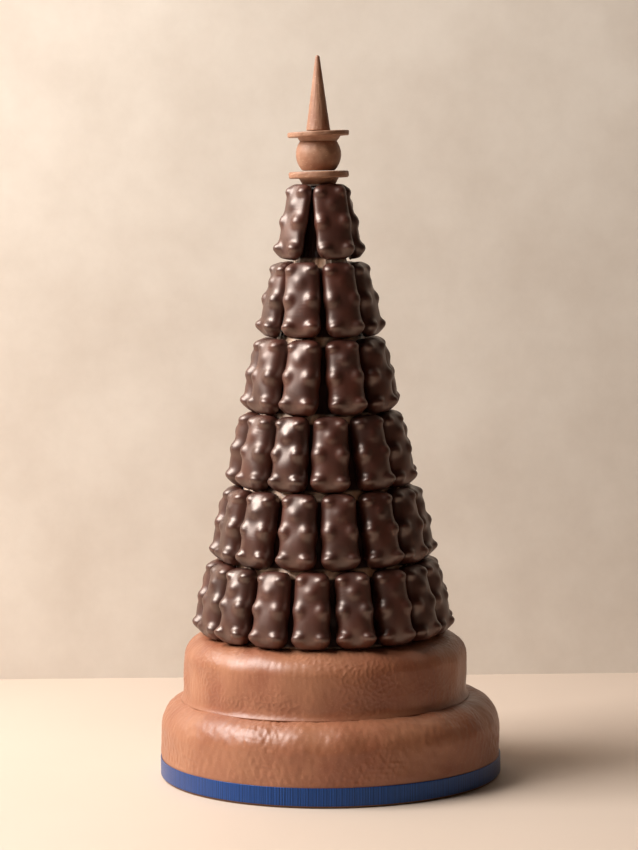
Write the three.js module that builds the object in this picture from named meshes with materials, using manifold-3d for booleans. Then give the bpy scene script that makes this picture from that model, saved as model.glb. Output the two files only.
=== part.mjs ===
// A festive tower of chocolate-coated marshmallow bears: a milk chocolate cone that carries six rings
// of bears, on two stacked milk chocolate drums with a ribbon round the foot, and a turned-looking
// chocolate finial on top. Millimetres, +Z up, the front towards -Y, origin under the board's centre.
import * as THREE from "three";
import { mergeVertices } from "three/addons/utils/BufferGeometryUtils.js";
import Module from "manifold-3d";

// ---- driving dimensions -------------------------------------------------------------------------
const GAP = 0.3; // clearance that two touching pieces keep

const BOARD = { radius: 119.4, height: 1.8, segments: 36 };
const RIBBON = { foot: 1.6, width: 12.3, thickness: 0.6, segments: 36 };
const LOWER_TIER = {
  radius: 119.8,
  bottom: BOARD.height + GAP,
  top: 55.5,
  shoulderWidth: 19.8, // how far the rounded shoulder reaches in from the wall
  shoulderHeight: 21,
  wave: 0.45, // how uneven the poured coat is
  segments: 36,
};
const UPPER_TIER = {
  offset: -3.5, // it was set down a little left of centre
  radius: 100.1,
  bottom: LOWER_TIER.top + GAP,
  top: 100.2,
  shoulderWidth: 20.2,
  shoulderHeight: 15.7,
  flare: 2.2, // the coat ran down and out into a small lip
  flareHeight: 7,
  wave: 0.5,
  segments: 36,
};

const CONE = {
  offset: -4, // the cone's axis, left of the board's centre
  bottom: UPPER_TIER.top + GAP,
  footRadius: 77.8,
  slope: 0.2285, // radius lost for each millimetre of height
  top: 415.6,
  segments: 30,
};

// One bear, lying in its own frame: x across, depth outwards from its flat back, height upwards.
const BEAR = {
  height: 53,
  width: 24.2, // of the bare body, before feet, paws and cheeks
  lean: Math.atan(CONE.slope), // it lies back against the cone
  squareness: 3.2, // how boxy its cross section is
  endSquareness: 4.5, // how boxy its outline is from head to foot, seen from the front
  domeSquareness: 3.4, // and seen from the side
};
// Where the body widens: centre and reach as heights, and how much on each side.
const SWELLS = [
  { at: 7, reach: 7, grow: 1.7 },
  { at: 26, reach: 6, grow: 1 },
  { at: 46, reach: 6, grow: 0.2 },
];
// The relief: each bump's place across and up, its reach each way, and how far it stands out.
const BUMPS = [
  { across: 8.5, up: 6.6, wide: 4.2, tall: 3.6, out: 3.6 }, // feet
  { across: 8.2, up: 26, wide: 3.8, tall: 4.6, out: 2.4 }, // paws
  { across: 7.3, up: 47.6, wide: 3.4, tall: 3, out: 2.6 }, // ears
  { across: 0, up: 38, wide: 4.4, tall: 4.2, out: 1.6 }, // snout
  { across: 0, up: 17, wide: 8, tall: 7, out: 0.7 }, // belly
];

// Rings of bears, top ring first. foot is the height of the soles and tip the radius to the feet.
// A bear is thick through the middle, and its rear part, which rounds off towards the flat back,
// is back deep. The shown bears stand at these degrees round the cone, with 0 the front and + to
// the right. turned says how far each faces right of straight out, and rolled how far its head
// tips over to the right. The others share the rest of the ring, in groups of up to four whose
// coats have run together.
const RINGS = [
  {
    foot: 363.6,
    tip: 32.6,
    thick: 10,
    back: 5.3,
    groups: [2],
    shown: [-56.5, 29, 106.5],
    turned: [1, -13, -7],
    rolled: [-1, 0, -1],
  },
  {
    foot: 309.4,
    tip: 45.3,
    thick: 11.8,
    back: 4,
    groups: [2, 1],
    shown: [-73.5, -21, 29, 77],
    turned: [3, 5, -9, -7],
    rolled: [0, -3, 0, 0],
  },
  {
    foot: 256.7,
    tip: 57.0,
    thick: 13,
    back: 2,
    groups: [2, 2],
    shown: [-95, -57, -19, 24, 61, 97.5],
    turned: [-7, 3, -3, -13, -11, -11],
    rolled: [2, -2, 2, 0, 2, 0],
  },
  {
    foot: 204.5,
    tip: 68.5,
    thick: 13,
    back: 2,
    groups: [3, 2],
    shown: [-92, -54, -23, 5, 40, 69, 98],
    turned: [-7, 3, -3, -1, -13, -13, -13],
    rolled: [2, 0, 0, 2, 0, 2, 0],
  },
  {
    foot: 152.3,
    tip: 80.6,
    thick: 13,
    back: 2,
    groups: [4, 3],
    shown: [-91, -66, -42, -15, 10, 37, 60, 83.5],
    turned: [-5, -3, 7, -3, -3, -13, -11, -9],
    rolled: [2, 0, 0, 0, 0, 0, 2, 0],
  },
  {
    foot: 100.1,
    tip: 93.2,
    thick: 13,
    back: 2,
    groups: [4, 4],
    shown: [-90, -68, -48, -27, -6, 16, 37, 57, 76.5, 95.5],
    turned: [-5, 5, 3, -1, -1, -13, -13, -9, -9, -11],
    rolled: [0, 0, -1, 0, 0, 0, 2, 0, 0, 0],
  },
];
// How much one bear differs from the next: mm along its ring, degrees, mm, and shares of its size.
const UNEVEN = { shift: 0.2, roll: 0.6, lift: 0.1, height: 0.004, width: 0.015, relief: 0.15 };
// The mean way that the bears behind face, in degrees, and how far they stray from it.
const BEHIND = { turn: -6, spread: 3 };

const FINIAL = {
  offset: -4.2,
  collar: { bottom: 416.2, top: 420.1, bottomRadius: 11.4, topRadius: 14.4 },
  lowerDisc: { bottom: 420.7, height: 4.7, radius: 20.9, edge: 1.5, tilt: 1.2 },
  ball: { centre: 437.2, radius: 15.8, flatBottom: 426.0, flatTop: 446.1 },
  socket: { bottom: 446.4, top: 449.0, bottomRadius: 13.6, topRadius: 15.6 },
  upperDisc: { bottom: 449.6, height: 3.6, radius: 21.4, edge: 1.1, tilt: 2.2 },
  spike: { bottom: 453.7, top: 506, radius: 8.4, tipRadius: 1.5 },
  segments: 18,
};

// ---- finishes -----------------------------------------------------------------------------------
const finish = (name, color, roughness) =>
  new THREE.MeshStandardMaterial({ name, color, roughness, metalness: 0 });
const milkCoat = finish("milk_chocolate_coat", 0xa96d4c, 0.38);
const paleCoat = finish("pale_chocolate_coat", 0xd8b095, 0.35);
const milkMatt = finish("milk_chocolate_matt", 0xb57e5d, 0.62);
const darkCoat = finish("dark_chocolate_coat", 0x3b201a, 0.3);
const satin = finish("blue_ribbon", 0x23457f, 0.45);
const card = finish("cake_board", 0x8a6247, 0.7);

const tower = new THREE.Group();
tower.name = "marshmallow_bear_pyramid";

const wasm = await Module();
wasm.setup();

const degrees = THREE.MathUtils.degToRad;

function add(name, geometry, material, parent = tower) {
  geometry.computeVertexNormals();
  const mesh = new THREE.Mesh(geometry, material);
  mesh.name = name;
  parent.add(mesh);
  return mesh;
}

// A steady pseudo-random number from -1 to 1 for one property of one bear in one ring.
function uneven(ring, bear, property) {
  const wave = Math.sin(ring * 12.9898 + bear * 78.233 + property * 37.719) * 43758.5453;
  return 2 * (wave - Math.floor(wave)) - 1;
}

// A closed skin over rings of points, each ring the same length, with a fan over both ends.
function skin(rings) {
  const around = rings[0].length;
  const faces = [];
  for (let level = 0; level + 1 < rings.length; level++) {
    for (let i = 0; i < around; i++) {
      const a = level * around + i;
      const b = level * around + ((i + 1) % around);
      faces.push(a, b, b + around, a, b + around, a + around);
    }
  }
  const last = (rings.length - 1) * around;
  for (let i = 1; i + 1 < around; i++) {
    faces.push(0, i + 1, i);
    faces.push(last, last + i, last + i + 1);
  }
  const geometry = new THREE.BufferGeometry();
  geometry.setAttribute("position", new THREE.Float32BufferAttribute(rings.flat(2), 3));
  geometry.setIndex(faces);
  return geometry;
}

// A solid turned round the z axis from [radius, height] points that run from foot to top.
function turned(profile, segments, radiusAt = (radius) => radius) {
  const rings = profile.map(([radius, height]) =>
    Array.from({ length: segments }, (_, i) => {
      const angle = (2 * Math.PI * i) / segments;
      const r = radiusAt(radius, angle, height);
      return [r * Math.cos(angle), r * Math.sin(angle), height];
    }),
  );
  return skin(rings);
}

// ---- board and ribbon ---------------------------------------------------------------------------
const boardOutline = [
  [BOARD.radius, 0],
  [BOARD.radius, BOARD.height],
];
add("cake_board", turned(boardOutline, BOARD.segments), card);

const ribbonInner = LOWER_TIER.radius + GAP;
const ribbonOuter = ribbonInner + RIBBON.thickness;
const ribbonSection = [
  [ribbonInner, RIBBON.foot],
  [ribbonOuter, RIBBON.foot],
  [ribbonOuter, RIBBON.foot + RIBBON.width],
  [ribbonInner, RIBBON.foot + RIBBON.width],
  [ribbonInner, RIBBON.foot],
].map(([radius, height]) => new THREE.Vector2(radius, height));
const ribbonBand = new THREE.LatheGeometry(ribbonSection, RIBBON.segments);
// LatheGeometry turns round y and starts at +Z: this stands it up with its facets on the drum's.
ribbonBand.rotateX(Math.PI / 2);
add("ribbon", ribbonBand, satin);

// ---- the two drums ------------------------------------------------------------------------------
// A drum's outline: its foot, a straight wall, and a quarter-ellipse shoulder. Where the coat flares
// at the foot, it does so in a hollow curve above a short upright edge.
function drumOutline(tier) {
  const wallTop = tier.top - tier.shoulderHeight;
  const { flare = 0, flareHeight = 0 } = tier;
  const outline = [[tier.radius + flare, tier.bottom]];
  if (flare > 0) {
    outline.push([tier.radius + flare, tier.bottom + 0.1 * flareHeight]);
    outline.push([tier.radius + 0.3 * flare, tier.bottom + 0.45 * flareHeight]);
    outline.push([tier.radius, tier.bottom + flareHeight]);
  }
  const shoulderSteps = 5;
  for (let i = 0; i <= shoulderSteps; i++) {
    const angle = (i / shoulderSteps) * (Math.PI / 2);
    outline.push([
      tier.radius - tier.shoulderWidth * (1 - Math.cos(angle)),
      wallTop + tier.shoulderHeight * Math.sin(angle),
    ]);
  }
  return outline;
}

// The coat is a little uneven round the drum, but true where the ribbon or the next piece sits.
function drum(tier, evenBelow) {
  const wavy = (radius, angle, height) => {
    const rise = THREE.MathUtils.smoothstep(height, evenBelow, evenBelow + 8);
    const fall = 1 - THREE.MathUtils.smoothstep(height, tier.top - 6, tier.top);
    const wave = Math.sin(3 * angle + 0.8) + 0.6 * Math.sin(7 * angle + 2.1 + height / 14);
    return radius + (tier.wave * rise * fall * wave) / 1.6;
  };
  return turned(drumOutline(tier), tier.segments, wavy);
}

add("lower_tier", drum(LOWER_TIER, RIBBON.foot + RIBBON.width + GAP), milkCoat);
add("upper_tier", drum(UPPER_TIER, UPPER_TIER.bottom + 2), milkCoat).position.x = UPPER_TIER.offset;

// ---- the cone that carries the bears ------------------------------------------------------------
const coneOutline = [
  [CONE.footRadius, CONE.bottom],
  [CONE.footRadius - (CONE.top - CONE.bottom) * CONE.slope, CONE.top],
];
const cone = add("cone_core", turned(coneOutline, CONE.segments), paleCoat);
cone.position.x = CONE.offset;

// ---- the bears ----------------------------------------------------------------------------------
const bell = (distance, reach) => Math.exp(-((distance / reach) ** 2));
const signedPower = (value, power) => Math.sign(value) * Math.abs(value) ** power;

// How much of its full size a bear has at a height: a superellipse from its soles to its crown.
function taper(height, squareness) {
  const end = Math.abs((2 * height) / BEAR.height - 1);
  return (1 - end ** squareness) ** (1 / squareness);
}

// The point of a bear's skin at a height and at an angle round it (90 degrees is its front).
// Its section is a superellipse, deeper in front than behind, whose size follows the height.
// Swells widen it, and bumps push the front out along the section's own normal.
function bearPoint(height, angle, shape) {
  const power = 2 / BEAR.squareness;
  const swell = SWELLS.reduce((sum, s) => sum + s.grow * bell(height - s.at, s.reach), 0);
  const halfWidth = (BEAR.width / 2 + swell) * shape.width;
  const frontDepth = shape.thick - shape.back;
  const cos = Math.cos(angle);
  const sin = Math.sin(angle);
  const reach = sin > 0 ? frontDepth * taper(height, BEAR.domeSquareness) : shape.back;
  const across = halfWidth * taper(height, BEAR.endSquareness) * signedPower(cos, power);
  const depth = shape.back + reach * signedPower(sin, power);
  const front = THREE.MathUtils.smoothstep(sin, -0.05, 0.6);
  const relief = BUMPS.reduce((sum, b) => {
    const side = bell(Math.abs(across) - b.across * shape.width, b.wide);
    return sum + b.out * side * bell(height - b.up, b.tall);
  }, 0);
  const push = relief * front * shape.relief;
  const normal = new THREE.Vector2(signedPower(cos, 2 - power), signedPower(sin, 2 - power));
  normal.set(normal.x / halfWidth, normal.y / frontDepth).normalize();
  return [across + push * normal.x, -(depth + push * normal.y), height * shape.height];
}

// Heights and angles that put corners on the feet, paws, snout and ears.
const BEAR_LEVELS = [0.006, 0.125, 0.3, 0.49, 0.61, 0.725, 0.9, 0.994];
const BEAR_ANGLES = [180, 147, 118, 90, 62, 33, 0, -35, -145];

function bearGeometry(shape) {
  const rings = BEAR_LEVELS.map((level) =>
    BEAR_ANGLES.map((angle) => bearPoint(level * BEAR.height, degrees(angle), shape)),
  );
  return skin(rings);
}

// A bear in its ring. It lies back against the cone at its place round it, and is turned and rolled
// as it lies there.
function bearMesh(ring, ringNumber, bearNumber, azimuth, turned, rolled) {
  const draw = (property) => uneven(ringNumber, bearNumber, property);
  const shape = {
    thick: ring.thick,
    back: ring.back,
    width: 1 + UNEVEN.width * draw(1),
    height: 1 + UNEVEN.height * draw(2),
    relief: 1 + UNEVEN.relief * draw(3),
  };
  const feet = BUMPS[0];
  const bare = ring.back + (ring.thick - ring.back) * taper(feet.up, BEAR.domeSquareness);
  const reach = (bare + feet.out) * Math.cos(BEAR.lean) - feet.up * Math.sin(BEAR.lean);
  const backRadius = ring.tip - reach;
  const turn = degrees(azimuth) + (UNEVEN.shift * draw(4)) / ring.tip;
  const mesh = new THREE.Mesh(bearGeometry(shape), darkCoat);
  mesh.position.set(
    CONE.offset + backRadius * Math.sin(turn),
    -backRadius * Math.cos(turn),
    ring.foot + UNEVEN.lift * draw(6),
  );
  mesh.rotateZ(turn);
  mesh.rotateX(-BEAR.lean);
  mesh.rotateZ(degrees(turned));
  mesh.rotateY(degrees(rolled + UNEVEN.roll * draw(7)));
  mesh.updateMatrixWorld(true);
  return mesh;
}

function solidOf(mesh) {
  const bare = mesh.geometry.clone().applyMatrix4(mesh.matrixWorld);
  bare.deleteAttribute("normal");
  const merged = mergeVertices(bare, 1e-4);
  const vertProperties = merged.attributes.position.array;
  const triVerts = new Uint32Array(merged.index.array);
  return new wasm.Manifold(new wasm.Mesh({ numProp: 3, vertProperties, triVerts }));
}

// Bears whose coats have run together where their sides meet: one solid.
function joined(meshes) {
  const whole = meshes.map(solidOf).reduce((sum, solid) => sum.add(solid));
  const { vertProperties, triVerts } = whole.getMesh();
  const geometry = new THREE.BufferGeometry();
  geometry.setAttribute("position", new THREE.Float32BufferAttribute(vertProperties, 3));
  geometry.setIndex(Array.from(triVerts));
  return geometry;
}

// Degrees between two joined bears, so that their feet run into each other.
function touchingStep(ring) {
  const halfWidth = BEAR.width / 2 + SWELLS[0].grow;
  const middleRadius = ring.tip - ring.thick / 2 - BUMPS[0].out;
  return 2 * THREE.MathUtils.radToDeg(Math.atan((halfWidth - 2.6) / middleRadius));
}

RINGS.forEach((ring, index) => {
  const ringNumber = index + 1;
  ring.shown.forEach((azimuth, bear) => {
    const mesh = bearMesh(ring, ringNumber, bear, azimuth, ring.turned[bear], ring.rolled[bear]);
    mesh.name = `bear_${ringNumber}_${bear + 1}`;
    tower.add(mesh);
  });
  const step = touchingStep(ring);
  const last = ring.shown.at(-1);
  const joins = ring.groups.reduce((sum, count) => sum + count - 1, 0);
  const space = (360 - last + ring.shown[0] - joins * step) / (ring.groups.length + 1);
  let bear = ring.shown.length;
  let azimuth = last + space;
  ring.groups.forEach((count, group) => {
    const meshes = [];
    for (let i = 0; i < count; i++, bear++) {
      const turned = BEHIND.turn + BEHIND.spread * uneven(ringNumber, bear, 5);
      meshes.push(bearMesh(ring, ringNumber, bear, azimuth, turned, 0));
      azimuth += i + 1 < count ? step : space;
    }
    add(`bears_${ringNumber}_back_${group + 1}`, joined(meshes), darkCoat);
  });
});

// ---- the finial ---------------------------------------------------------------------------------
// A disc with rounded edges, its middle at the origin.
function disc({ height, radius, edge }) {
  const outline = [
    [radius - edge, 0],
    [radius, edge],
    [radius, height - edge],
    [radius - edge, height],
  ].map(([r, z]) => [r, z - height / 2]);
  return turned(outline, FINIAL.segments);
}

// A ball with a flat cut where it stands and another where the socket holds it.
function cutBall({ centre, radius, flatBottom, flatTop }) {
  const steps = 5;
  const low = Math.asin((flatBottom - centre) / radius);
  const high = Math.asin((flatTop - centre) / radius);
  const outline = Array.from({ length: steps + 1 }, (_, i) => {
    const angle = low + ((high - low) * i) / steps;
    return [radius * Math.cos(angle), centre + radius * Math.sin(angle)];
  });
  return turned(outline, FINIAL.segments);
}

function truncatedCone({ bottom, top, bottomRadius, topRadius }) {
  const outline = [
    [bottomRadius, bottom],
    [topRadius, top],
  ];
  return turned(outline, FINIAL.segments);
}

function spikeGeometry({ bottom, top, radius, tipRadius }) {
  const outline = [
    [radius, bottom],
    [(radius + 2 * tipRadius) / 3, top - (top - bottom) / 3],
    [tipRadius, top - tipRadius],
    [tipRadius * 0.45, top],
  ];
  return turned(outline, FINIAL.segments);
}

const finial = new THREE.Group();
finial.position.x = FINIAL.offset;
tower.add(finial);
add("finial_collar", truncatedCone(FINIAL.collar), milkMatt, finial);
for (const name of ["lowerDisc", "upperDisc"]) {
  const plate = FINIAL[name];
  const nodeName = name === "lowerDisc" ? "finial_lower_disc" : "finial_upper_disc";
  const mesh = add(nodeName, disc(plate), milkMatt, finial);
  mesh.position.z = plate.bottom + plate.height / 2;
  mesh.rotation.y = -degrees(plate.tilt);
}
add("finial_ball", cutBall(FINIAL.ball), milkMatt, finial);
add("finial_socket", truncatedCone(FINIAL.socket), milkMatt, finial);
add("finial_spike", spikeGeometry(FINIAL.spike), milkMatt, finial);

export default tower;
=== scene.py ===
# A festive tower of chocolate-coated marshmallow bears. Six rings of bears lean on a cone under pale
# milk chocolate, which stands on two milk chocolate drums with a blue ribbon round the foot, and a
# finial of cast milk chocolate crowns it. Shapes are in millimetres until they are put into a mesh,
# in metres. The front is towards -Y, and degrees round the tower run from 0 at the front, + to the
# right.
import math

import bpy
import numpy as np
from mathutils import Matrix, Vector


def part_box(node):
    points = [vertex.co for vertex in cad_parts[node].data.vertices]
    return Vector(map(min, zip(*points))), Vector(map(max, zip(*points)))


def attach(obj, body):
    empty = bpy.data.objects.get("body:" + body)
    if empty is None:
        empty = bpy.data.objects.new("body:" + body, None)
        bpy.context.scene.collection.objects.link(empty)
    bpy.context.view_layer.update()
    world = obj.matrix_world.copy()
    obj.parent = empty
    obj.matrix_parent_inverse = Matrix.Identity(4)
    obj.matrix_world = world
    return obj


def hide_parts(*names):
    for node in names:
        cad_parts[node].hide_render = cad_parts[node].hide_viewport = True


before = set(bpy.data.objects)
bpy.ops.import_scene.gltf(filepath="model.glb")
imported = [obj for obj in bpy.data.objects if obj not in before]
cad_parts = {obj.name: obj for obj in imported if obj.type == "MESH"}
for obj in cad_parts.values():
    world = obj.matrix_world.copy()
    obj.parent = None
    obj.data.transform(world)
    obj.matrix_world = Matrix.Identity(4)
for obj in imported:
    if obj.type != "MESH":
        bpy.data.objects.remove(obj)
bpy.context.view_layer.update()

# ---- cake board ---------------------------------------------------------------------------------
# A thin round board of laminated card that the lower drum stands on. It is a hair smaller than the
# drum, so that only its brown cut edge shows, as a line under the ribbon.
MM = 0.001
BOARD_EDGE = 0.3  # radius that its cut edge is crushed to
CARD_FIBRE = 0.6  # mm across a fibre of the card


def linear(code):
    """The linear colour of an sRGB hex code: the standard curve, undone channel by channel."""
    srgb = np.array([int(code[i:i + 2], 16) for i in (1, 3, 5)]) / 255
    rgb = np.where(srgb <= 0.04045, srgb / 12.92, ((srgb + 0.055) / 1.055) ** 2.4)
    return (*rgb.tolist(), 1.0)


def add_node(tree, kind, inputs, **settings):
    """Adds a node with its settings. An input given a socket is linked to it, any other is set."""
    node = tree.nodes.new(kind)
    for key, value in settings.items():
        setattr(node, key, value)
    for key, value in inputs.items():
        if isinstance(value, bpy.types.NodeSocket):
            tree.links.new(value, node.inputs[key])
        else:
            node.inputs[key].default_value = value
    return node


def new_material(name, roughness, ior):
    """A node material with its own shader: the material, its tree, the shader and Object coordinates."""
    material = bpy.data.materials.new(name)
    material.use_nodes = True
    tree = material.node_tree
    shader = tree.nodes["Principled BSDF"]
    shader.inputs["Roughness"].default_value = roughness
    shader.inputs["IOR"].default_value = ior
    place = add_node(tree, "ShaderNodeTexCoord", {}).outputs["Object"]
    return material, tree, shader, place


def per_mm(spacing):
    """Texture scale, in features per metre, of a pattern whose features are this many mm apart."""
    return 1 / (spacing * MM)


def skin(name, bodies, uv=None, ends=True):
    """One smooth piece from closed bodies, an array (bodies, levels, around, 3) of points in mm.

    A body's rings run from the foot up, anticlockwise seen from above, and a fan to the middle of
    the ring closes each end. Without ends, the last ring joins the first, as on a band.
    uv is an array (bodies, levels, around, 2) for a pattern that follows the surface.
    """
    count, levels, around, _ = bodies.shape
    grid = np.arange(levels * around).reshape(levels, around)
    if not ends:
        grid = np.concatenate([grid, grid[:1]])
    right = np.roll(grid, -1, axis=1)
    faces = [np.stack([grid[:-1], right[:-1], right[1:], grid[1:]], axis=-1).reshape(-1, 4)]
    points = bodies.reshape(count, -1, 3)
    if ends:
        foot, head = np.full(around, levels * around), np.full(around, levels * around + 1)
        faces.append(np.stack([foot, right[0], grid[0]], axis=-1))
        faces.append(np.stack([head, grid[-1], right[-1]], axis=-1))
        middles = np.stack([bodies[:, 0].mean(axis=1), bodies[:, -1].mean(axis=1)], axis=1)
        points = np.concatenate([points, middles], axis=1)
    corners = np.concatenate([part.ravel() for part in faces])
    corners = (corners + np.arange(count)[:, None] * points.shape[1]).ravel()
    sides = np.tile(np.concatenate([np.full(len(part), part.shape[1]) for part in faces]), count)
    mesh = bpy.data.meshes.new(name)
    mesh.vertices.add(count * points.shape[1])
    mesh.vertices.foreach_set("co", points.ravel() * MM)
    mesh.loops.add(len(corners))
    mesh.loops.foreach_set("vertex_index", corners)
    mesh.polygons.add(len(sides))
    mesh.polygons.foreach_set("loop_start", np.cumsum(sides) - sides)
    if uv is not None:
        flat = uv.reshape(count, -1, 2)
        if ends:
            flat = np.concatenate([flat, uv[:, 0].mean(1)[:, None], uv[:, -1].mean(1)[:, None]], axis=1)
        layer = mesh.uv_layers.new(name="coat")
        layer.data.foreach_set("uv", flat.reshape(-1, 2)[corners].ravel())
    mesh.update(calc_edges=True)
    mesh.shade_smooth()
    piece = bpy.data.objects.new(name, mesh)
    bpy.context.scene.collection.objects.link(piece)
    return piece


def show(piece, material, slot, *nodes):
    """Gives a piece its material and its body, and hides the nodes that it stands for; slot is not used."""
    piece.data.materials.append(material)
    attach(piece, "root")
    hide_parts(*nodes)


def turned(radii, heights, around, centre=(0, 0)):
    """A turned body: profile points (radius, height) swept round an upright axis.

    radii is one value for each height, or an array (heights, around) where the body isn't round.
    """
    angle = np.linspace(0, 2 * np.pi, around, endpoint=False)
    radii = np.reshape(radii, (len(heights), -1)) * np.ones(around)
    heights = np.reshape(heights, (len(heights), -1)) * np.ones(around)
    x = centre[0] + radii * np.cos(angle)
    y = centre[1] + radii * np.sin(angle)
    return np.stack([x, y, heights], axis=-1)[None]


def rounded(radius, low, high, edge, steps=7):
    """Profile of a disc: an upright wall between two quarter circles, each of the edge's radius."""
    turn = np.linspace(0, np.pi / 2, steps)
    foot = [radius - edge + edge * np.sin(turn), low + edge - edge * np.cos(turn)]
    head = [radius - edge + edge * np.cos(turn), high - edge + edge * np.sin(turn)]
    return np.concatenate([foot, head], axis=1)


def node_box(node):
    """A node's lowest and highest corner in the frame, in mm."""
    low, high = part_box(node)
    return np.array(low) / MM, np.array(high) / MM


def make_card():
    """Laminated card with a cut edge: matt, its short fibres a little lighter and darker."""
    material, tree, shader, place = new_material("laminated_card", roughness=0.75, ior=1.45)
    fibre = add_node(tree, "ShaderNodeTexNoise", {
        "Vector": place, "Scale": per_mm(CARD_FIBRE), "Detail": 4.0}).outputs["Fac"]
    colour = add_node(tree, "ShaderNodeMix", {
        0: fibre, 6: linear("#6f4c35"), 7: linear("#a3795a")}, data_type="RGBA").outputs[2]
    tree.links.new(colour, shader.inputs["Base Color"])
    bump = add_node(tree, "ShaderNodeBump", {"Height": fibre, "Distance": 0.05 * MM, "Strength": 0.5})
    tree.links.new(bump.outputs["Normal"], shader.inputs["Normal"])
    return material


board_low, board_high = node_box("cake_board")
board_profile = rounded(board_high[0], board_low[2], board_high[2], BOARD_EDGE)
board = skin("board_of_card", turned(*board_profile, around=240))
show(board, make_card(), "cake_board", "cake_board")

# ---- ribbon -------------------------------------------------------------------------------------
# A 12 mm polyester ribbon drawn tight round the foot of the lower drum and glued. It is woven with
# fine ribs across it, which the light picks out one by one, and has a smooth selvedge at each edge.
# The crown of each rib is also painted paler in its colour: a painted sheen.
RIBBON_THICKNESS = 0.6
RIBBON_EDGE = 0.25
RIB_SPACING = 1.1  # mm between two ribs, a little coarser than the real weave, so that they show
RIB_RELIEF = 0.10
RIB_TONES = 0.21  # noise scale over a rib's phase: it gives nearly every rib its own tone
SELVEDGE = 0.9
SELVEDGE_BLEND = 0.2  # mm over which the ribs end at the selvedge


def band(outer, low, high, thickness, edge, around):
    """A closed band: a section with rounded corners, swept round the upright axis."""
    profile = rounded(outer, low, high, edge)
    wall = np.linspace(0, 1, 8)[1:-1]
    side = [np.full(6, outer), low + edge + (high - low - 2 * edge) * wall]
    half = profile.shape[1] // 2
    outside = np.concatenate([profile[:, :half], side, profile[:, half:]], axis=1)
    inside = outside[:, ::-1].copy()
    inside[0] = 2 * outer - thickness - inside[0]
    return turned(*np.concatenate([outside, inside], axis=1), around)


def make_ribbed_satin():
    """Woven polyester with ribs: painted sheen on the crown of each rib, some ribs paler than others.

    A rib is one wave of the sine of the angle round the tower times the number of ribs.
    """
    material, tree, shader, place = new_material("ribbed_satin_ribbon", roughness=0.3, ior=1.6)
    shader.inputs["Specular Tint"].default_value = linear("#9dbcf4")
    ribs = round(2 * np.pi * ribbon_high[0] / RIB_SPACING)
    axes = add_node(tree, "ShaderNodeSeparateXYZ", {0: place}).outputs
    angle = add_node(tree, "ShaderNodeMath", {0: axes["Y"], 1: axes["X"]}, operation="ARCTAN2").outputs[0]
    phase = add_node(tree, "ShaderNodeMath", {0: angle, 1: float(ribs)}, operation="MULTIPLY").outputs[0]
    rib = add_node(tree, "ShaderNodeMath", {0: phase}, operation="SINE").outputs[0]
    along = add_node(tree, "ShaderNodeCombineXYZ", {"X": phase, "Z": 0.0}).outputs[0]
    thread = add_node(tree, "ShaderNodeTexNoise", {
        "Vector": along, "Scale": RIB_TONES, "Detail": 3.0, "Roughness": 0.7}).outputs["Fac"]
    pale = add_node(tree, "ShaderNodeMapRange", {
        "Value": thread, "From Min": 0.42, "From Max": 0.62, "To Min": 0.0, "To Max": 1.0}).outputs[0]
    # The crown of each rib is painted paler in the base colour: a painted sheen, not a gloss.
    crown = add_node(tree, "ShaderNodeMath", {0: rib, 1: 0.25, 2: 0.15}, operation="MULTIPLY_ADD").outputs[0]
    tone = add_node(tree, "ShaderNodeMath", {0: pale, 1: 0.75, 2: crown}, operation="MULTIPLY_ADD").outputs[0]
    colour = add_node(tree, "ShaderNodeMix", {
        0: tone, 6: linear("#050f28"), 7: linear("#2a57a6")}, data_type="RGBA").outputs[2]
    tree.links.new(colour, shader.inputs["Base Color"])
    low_edge = ribbon_low[2] + SELVEDGE
    high_edge = ribbon_high[2] - SELVEDGE
    middle = 0.5 * (low_edge + high_edge) * MM
    reach = add_node(tree, "ShaderNodeMath", {0: axes["Z"], 1: middle}, operation="SUBTRACT").outputs[0]
    reach = add_node(tree, "ShaderNodeMath", {0: reach}, operation="ABSOLUTE").outputs[0]
    half = 0.5 * (high_edge - low_edge) * MM
    woven = add_node(tree, "ShaderNodeMapRange", {
        "Value": reach, "From Min": half, "From Max": half + SELVEDGE_BLEND * MM,
        "To Min": 1.0, "To Max": 0.0}).outputs[0]
    height = add_node(tree, "ShaderNodeMath", {0: rib, 1: woven}, operation="MULTIPLY").outputs[0]
    bump = add_node(tree, "ShaderNodeBump", {"Height": height, "Distance": RIB_RELIEF * MM, "Strength": 0.5})
    tree.links.new(bump.outputs["Normal"], shader.inputs["Normal"])
    return material


ribbon_low, ribbon_high = node_box("ribbon")
ribbon_shape = band(ribbon_high[0], ribbon_low[2], ribbon_high[2], RIBBON_THICKNESS, RIBBON_EDGE, 720)
ribbon = skin("ribbon_of_satin", ribbon_shape, ends=False)
show(ribbon, make_ribbed_satin(), "ribbon", "ribbon")

# ---- lower drum ---------------------------------------------------------------------------------
# A 24 cm cake drum under milk chocolate that was poured over it and set: an upright wall, a wide
# round shoulder and a flat top. The coat waves a little, and ran and wrinkled as it cooled.
LOWER_DRUM = {
    "radius": 119.8,
    "low": 2.1,
    "high": 55.5,
    "shoulder": (19.8, 21.0),  # how far the shoulder reaches in, and down
    "foot_edge": 0.4,
    "wave": 0.45,
    "even_below": 14.2,  # the ribbon's top edge
    "centre": 0.0,
    "dents": (34, 0.26),  # mm from crest to crest, and mm of relief
    "sags": (6.5, 0.08),
    "wrinkles": (3.6, 0.08),
    "patches": (60, 1),  # where there are wrinkles, as a share
}
DRUM_STEP = 0.75  # mm between two points of a drum's surface


def smooth(low, high, value):
    """Rises from 0 to 1 as the value goes from low to high, level at both ends."""
    share = np.clip((value - low) / (high - low), 0, 1)
    return share * share * (3 - 2 * share)


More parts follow.
